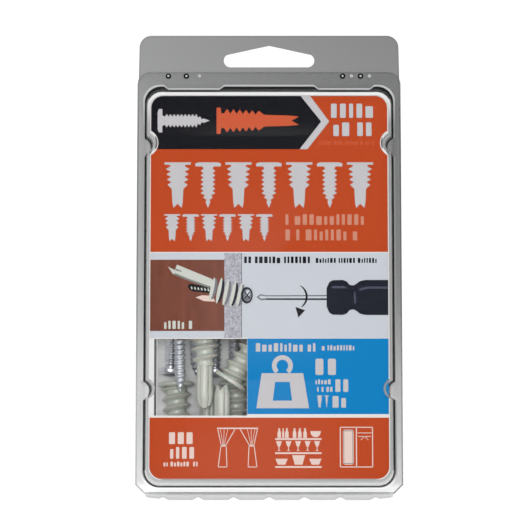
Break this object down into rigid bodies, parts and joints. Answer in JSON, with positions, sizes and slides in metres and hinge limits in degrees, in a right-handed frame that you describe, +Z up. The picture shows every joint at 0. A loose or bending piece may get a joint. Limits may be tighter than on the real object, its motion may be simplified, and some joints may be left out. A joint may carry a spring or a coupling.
{
  "type": "clamshell pack of wall anchors",
  "caption": "Clear hinged clamshell hang pack with a printed card and side window, filled with loose self-drilling wall anchors and screws.",
  "frame": {"origin": "where a display peg bears, at the apex of the hang hole, midway between the two flanges", "axes": "+Z up, +X to the right as seen from the front, -Y out of the printed front, +Y out of the tray's flat back"},
  "size_m": [0.0922, 0.029, 0.1629],
  "materials": {
    "clear_shell": "clear thermoformed sheet, slightly hazy",
    "printed_card": "coated and printed orange, black and blue",
    "plain_card": "uncoated pale grey board",
    "nylon": "natural moulded nylon",
    "zinc_steel": "bright zinc plate"
  },
  "bodies": {
    "back": {"back_shell": "clear_shell", "back_card": "plain_card", "anchor_01": "nylon", "anchor_02": "nylon", "anchor_03": "nylon", "anchor_04": "nylon", "anchor_05": "nylon", "anchor_06": "nylon", "anchor_07": "nylon", "anchor_08": "nylon", "anchor_09": "nylon", "anchor_10": "nylon", "anchor_11": "nylon", "anchor_12": "nylon", "anchor_13": "nylon", "anchor_14": "nylon", "anchor_15": "nylon", "anchor_16": "nylon", "anchor_17": "nylon", "anchor_18": "nylon", "anchor_19": "nylon", "anchor_20": "nylon", "anchor_21": "nylon", "anchor_22": "nylon", "screw_01": "zinc_steel", "screw_02": "zinc_steel", "screw_03": "zinc_steel", "screw_04": "zinc_steel", "screw_05": "zinc_steel", "screw_06": "zinc_steel", "screw_07": "zinc_steel", "screw_08": "zinc_steel", "screw_09": "zinc_steel", "screw_10": "zinc_steel", "screw_11": "zinc_steel", "screw_12": "zinc_steel", "screw_13": "zinc_steel", "screw_14": "zinc_steel", "screw_15": "zinc_steel", "screw_16": "zinc_steel", "screw_17": "zinc_steel", "screw_18": "zinc_steel", "screw_19": "zinc_steel", "screw_20": "zinc_steel", "screw_21": "zinc_steel", "screw_22": "zinc_steel"},
    "front": {"front_shell": "clear_shell", "front_card": "printed_card"}
  },
  "joints": [
    {"name": "front_shell_hinge", "type": "hinge", "parent": "back", "child": "front", "pos_m": [0, 0, -0.15945], "axis": [1, 0, 0], "range_deg": [0, 180]}
  ]
}
